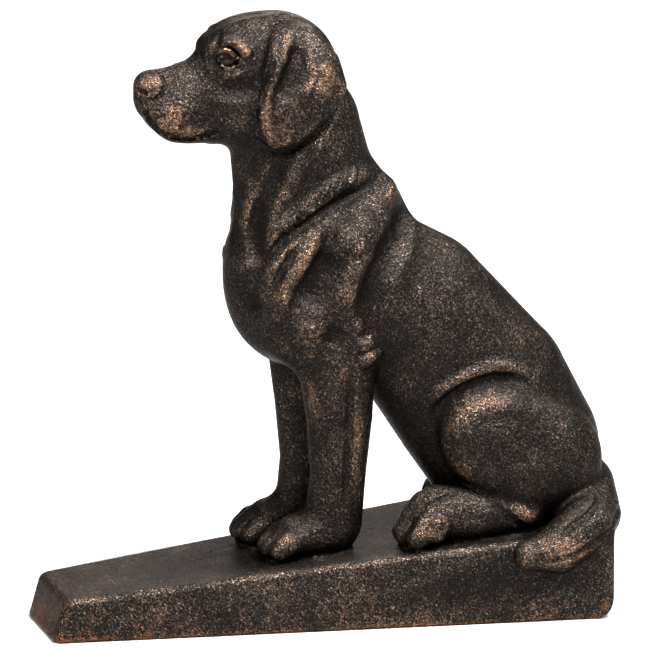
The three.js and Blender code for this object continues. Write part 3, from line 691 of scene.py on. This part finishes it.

# the stain is lightest on grains and on swellings; where it faces up it is lighter, painted light
# from above, and in hollows darker, partly the patina settled there and partly painted shade
stain_and_painted_light = add_node(
    tree, "ShaderNodeValToRGB",
    {"Fac": blend_of(tree, (0.8, grain), (0.2, clouds), (0.035, swelling), (0.04, painted_toplight))},
    [(0.445, "120f0e"), (0.555, "231f1c"), (0.635, "463e38"), (0.725, "85796f")]).outputs["Color"]
bronze = add_node(tree, "ShaderNodeValToRGB", {"Fac": grain}, [
    (0.36, "2a1e16"), (0.5, "644a38"), (0.6, "8e705a"), (0.7, "bfa48c")]).outputs["Color"]
rust = add_node(tree, "ShaderNodeValToRGB", {"Fac": grain}, [
    (0.36, "2a170f"), (0.5, "6e4026"), (0.65, "a8693f")]).outputs["Color"]
worn = add_node(tree, "ShaderNodeMix", {0: rust_share, 6: bronze, 7: rust},
                data_type="RGBA").outputs[2]

# rubbed places and raised edges show metal, broken up by the clumps and clouds
wear = blend_of(tree, (1.4, clumps), (1.2, clouds), (0.6, rub), (0.16, edges), (0.07, swelling))
bare = add_node(tree, "ShaderNodeMapRange", {
    "Value": wear, "From Min": 1.52, "From Max": 2.15, "To Max": 0.9}).outputs["Result"]
colour = add_node(tree, "ShaderNodeMix", {0: bare, 6: stain_and_painted_light, 7: worn},
                  data_type="RGBA").outputs[2]

# the wax is glossier on the clumps, and glossiest on the dressed skin round the eyes
gloss = add_node(tree, "ShaderNodeMapRange", {
    "Value": clumps, "From Min": 0.35, "From Max": 0.65, "To Min": 0.37,
    "To Max": 0.25}).outputs["Result"]
gloss = add_node(tree, "ShaderNodeMix", {0: dressed, 2: gloss, 3: 0.16}).outputs[0]
bump = add_node(tree, "ShaderNodeBump", {
    "Height": blend_of(tree, (0.7, grain), (0.9, clumps)), "Strength": 1.0,
    "Distance": RELIEF}).outputs["Normal"]
surface = add_node(tree, "ShaderNodeBsdfPrincipled", {
    "Base Color": colour, "Metallic": 0.85, "Roughness": gloss, "Normal": bump,
    "Specular Tint": shade("9a948f")}).outputs["BSDF"]
add_node(tree, "ShaderNodeOutputMaterial", {"Surface": surface})

casting.data.materials.clear()
casting.data.materials.append(iron)
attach(casting, "root")
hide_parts("dog_doorstop")

# The floor: a plain sheet of white paper.
# It lies flat under the wedge and runs past the picture's edges on all sides.
FLOOR_SIZE = 6
bm = bmesh.new()
bmesh.ops.create_grid(bm, x_segments=1, y_segments=1, size=FLOOR_SIZE / 2)
floor_mesh = bpy.data.meshes.new("floor")
bm.to_mesh(floor_mesh)
bm.free()
floor = bpy.data.objects.new("floor", floor_mesh)
bpy.context.scene.collection.objects.link(floor)
paper = bpy.data.materials.new("white_paper")
paper.use_nodes = True
sheet = paper.node_tree.nodes["Principled BSDF"]
sheet.inputs["Base Color"].default_value = shade("c8c8c8")
sheet.inputs["Roughness"].default_value = 0.9
floor_mesh.materials.append(paper)

# Studio light: four softboxes, the strongest overhead, in a room with pale walls.
# The one behind is low, and gives the dog's back and the wedge's top a soft sheen.
LIT_HEIGHT = 0.08        # metres above the floor, where the softboxes point
SOFTBOXES = {
    # name: (place, size, watts)
    "softbox_overhead": ((0.2, -0.45, 1.05), 0.45, 50),
    "softbox_behind": ((0.35, 1.3, 0.42), 0.5, 5),
    "softbox_right": ((0.95, 0.1, 0.8), 0.4, 10),
    "softbox_left": ((-1.1, -0.6, 0.7), 0.35, 9),
}
for name, (at, size, watts) in SOFTBOXES.items():
    data = bpy.data.lights.new(name, "AREA")
    data.shape = "SQUARE"
    data.size = size
    data.energy = watts
    lamp = bpy.data.objects.new(name, data)
    lamp.location = at
    towards = Vector((0, 0, LIT_HEIGHT)) - Vector(at)
    lamp.rotation_euler = towards.to_track_quat("-Z", "Y").to_euler()
    lamp.visible_camera = False
    bpy.context.scene.collection.objects.link(lamp)

world = bpy.data.worlds.new("pale_room")
bpy.context.scene.world = world
world.use_nodes = True
room = world.node_tree
direction = add_node(room, "ShaderNodeTexCoord").outputs["Generated"]
elevation = add_node(room, "ShaderNodeSeparateXYZ", {"Vector": direction}).outputs["Z"]
walls = add_node(room, "ShaderNodeValToRGB", {"Fac": elevation},
                 [(0, "3a3a3a"), (0.35, "626262"), (1, "b4b4b4")]).outputs["Color"]
room.links.new(walls, room.nodes["Background"].inputs["Color"])
room.nodes["Background"].inputs["Strength"].default_value = 0.9
bpy.context.scene.view_settings.view_transform = "Standard"

# Camera: a long lens from the dog's left, a little ahead of it and above it.
# It stands far off, so that the wedge's lines hardly converge.
AZIMUTH, ELEVATION = math.radians(15.5), math.radians(14.5)
AWAY = 3.0
AIM_HEIGHT = 0.085
SHIFT_RIGHT, SHIFT_DOWN = 0.00319, 0.00111
SENSOR, LENS = 36, 584.9         # millimetres
FARTHEST = 20
forward = Vector((math.sin(AZIMUTH) * math.cos(ELEVATION), math.cos(AZIMUTH) * math.cos(ELEVATION),
                  -math.sin(ELEVATION)))
right = Vector((math.cos(AZIMUTH), -math.sin(AZIMUTH), 0))
up = right.cross(forward)
aim = Vector((0, 0, AIM_HEIGHT)) + right * SHIFT_RIGHT - up * SHIFT_DOWN
camera_data = bpy.data.cameras.new("camera")
camera_data.sensor_width = SENSOR
camera_data.lens = LENS
camera_data.clip_end = FARTHEST
camera = bpy.data.objects.new("camera", camera_data)
camera.location = aim - forward * AWAY
camera.rotation_euler = forward.to_track_quat("-Z", "Y").to_euler()
bpy.context.scene.collection.objects.link(camera)
bpy.context.scene.camera = camera
